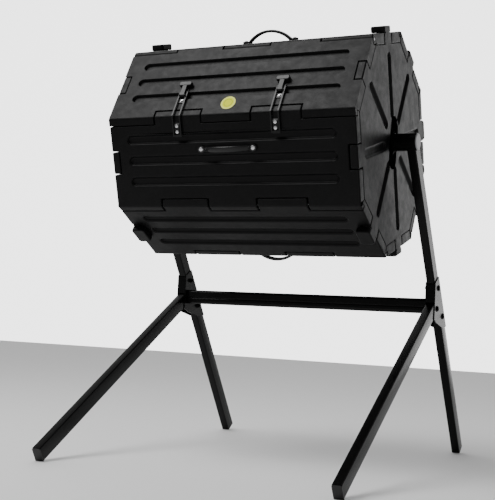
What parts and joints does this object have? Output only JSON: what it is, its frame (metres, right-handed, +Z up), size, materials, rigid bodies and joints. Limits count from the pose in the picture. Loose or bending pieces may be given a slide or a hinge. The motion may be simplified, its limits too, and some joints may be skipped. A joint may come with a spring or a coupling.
{
  "type": "compost tumbler",
  "caption": "Octagonal double-walled drum with a latched lid and strap handles, turning on a horizontal axle between two splayed steel leg frames.",
  "frame": {"origin": "on the ground, at the centre of the object's footprint", "axes": "+X along the axle, +Z up, the lid and the front legs face -Y"},
  "size_m": [0.8646, 1.1276, 1.2214],
  "materials": {
    "drum_plastic": "satin black, finely mottled",
    "handle_plastic": "smooth glossy black",
    "latch_plastic": "smooth black",
    "black_powder_coat": "gloss black powder coat",
    "plug_plastic": "black",
    "bush_nylon": "natural nylon",
    "cap_grey": "light grey",
    "black_fasteners": "black coated steel",
    "bright_screws": "bright zinc",
    "zinc_steel": "zinc plated",
    "label": "plain yellow-green disc with a pale rim"
  },
  "bodies": {
    "frame": {"axle_bush_left": "bush_nylon", "axle_bush_right": "bush_nylon", "bearing_sleeve_left": "black_powder_coat", "bearing_sleeve_right": "black_powder_coat", "crossbar": "black_powder_coat", "crossbar_inserts": "plug_plastic", "frame_bolts": "black_fasteners", "frame_nuts": "black_fasteners", "front_foot_plug_left": "plug_plastic", "front_foot_plug_right": "plug_plastic", "front_leg_left": "black_powder_coat", "front_leg_right": "black_powder_coat", "junction_bracket_left": "black_powder_coat", "junction_bracket_right": "black_powder_coat", "mast_left": "black_powder_coat", "mast_right": "black_powder_coat", "rear_foot_plug_left": "plug_plastic", "rear_foot_plug_right": "plug_plastic", "rear_leg_left": "black_powder_coat", "rear_leg_right": "black_powder_coat", "sleeve_cap_left": "cap_grey", "sleeve_cap_right": "cap_grey"},
    "drum": {"axle_tube": "zinc_steel", "back_handle": "handle_plastic", "back_panel": "drum_plastic", "bottom_handle": "handle_plastic", "bottom_panel": "drum_plastic", "corner_rods": "zinc_steel", "end_panel_left": "drum_plastic", "end_panel_right": "drum_plastic", "front_handle": "handle_plastic", "front_panel": "drum_plastic", "handle_screws": "bright_screws", "hub_backing_plate_left": "black_powder_coat", "hub_backing_plate_right": "black_powder_coat", "hub_bolts": "black_fasteners", "hub_flange_left": "black_powder_coat", "hub_flange_right": "black_powder_coat", "hub_nuts": "black_fasteners", "latch_keeper_left": "latch_plastic", "latch_keeper_right": "latch_plastic", "latch_keeper_screws": "bright_screws", "lid_hinge_rod": "zinc_steel", "lower_back_panel": "drum_plastic", "lower_front_panel": "drum_plastic", "top_handle": "handle_plastic", "top_panel": "drum_plastic", "upper_back_panel": "drum_plastic"},
    "lid": {"lid_panel": "drum_plastic", "latch_base_left": "latch_plastic", "latch_base_right": "latch_plastic", "latch_base_screws": "bright_screws", "latch_pivot_pins": "bright_screws", "round_label": "label"},
    "latch_lever_left": {"latch_lever_left": "latch_plastic"},
    "latch_lever_right": {"latch_lever_right": "latch_plastic"},
    "latch_loop_left": {"latch_loop_left": "latch_plastic"},
    "latch_loop_right": {"latch_loop_right": "latch_plastic"}
  },
  "joints": [
    {"name": "drum_spin", "type": "hinge", "parent": "frame", "child": "drum", "pos_m": [0, -0.07931, 0.894], "axis": [1, 0, 0], "continuous": true},
    {"name": "lid_hinge", "type": "hinge", "parent": "drum", "child": "lid", "pos_m": [0, -0.27429, 1.12885], "axis": [-1, 0, 0], "range_deg": [0, 100]},
    {"name": "lever_right_pivot", "type": "hinge", "parent": "lid", "child": "latch_lever_right", "pos_m": [0.1436, -0.37374, 0.98524], "axis": [1, 0, 0], "range_deg": [0, 120]},
    {"name": "loop_right_pivot", "type": "hinge", "parent": "latch_lever_right", "child": "latch_loop_right", "pos_m": [0.1436, -0.365, 0.99646], "axis": [1, 0, 0], "range_deg": [-144.5, 0]},
    {"name": "lever_left_pivot", "type": "hinge", "parent": "lid", "child": "latch_lever_left", "pos_m": [-0.1436, -0.37374, 0.98524], "axis": [1, 0, 0], "range_deg": [0, 120]},
    {"name": "loop_left_pivot", "type": "hinge", "parent": "latch_lever_left", "child": "latch_loop_left", "pos_m": [-0.1436, -0.365, 0.99646], "axis": [1, 0, 0], "range_deg": [-144.5, 0]}
  ],
  "couplings": [
    {"joint": "loop_right_pivot", "follows": "lever_right_pivot", "ratio": -1.2},
    {"joint": "loop_left_pivot", "follows": "lever_left_pivot", "ratio": -1.2}
  ]
}
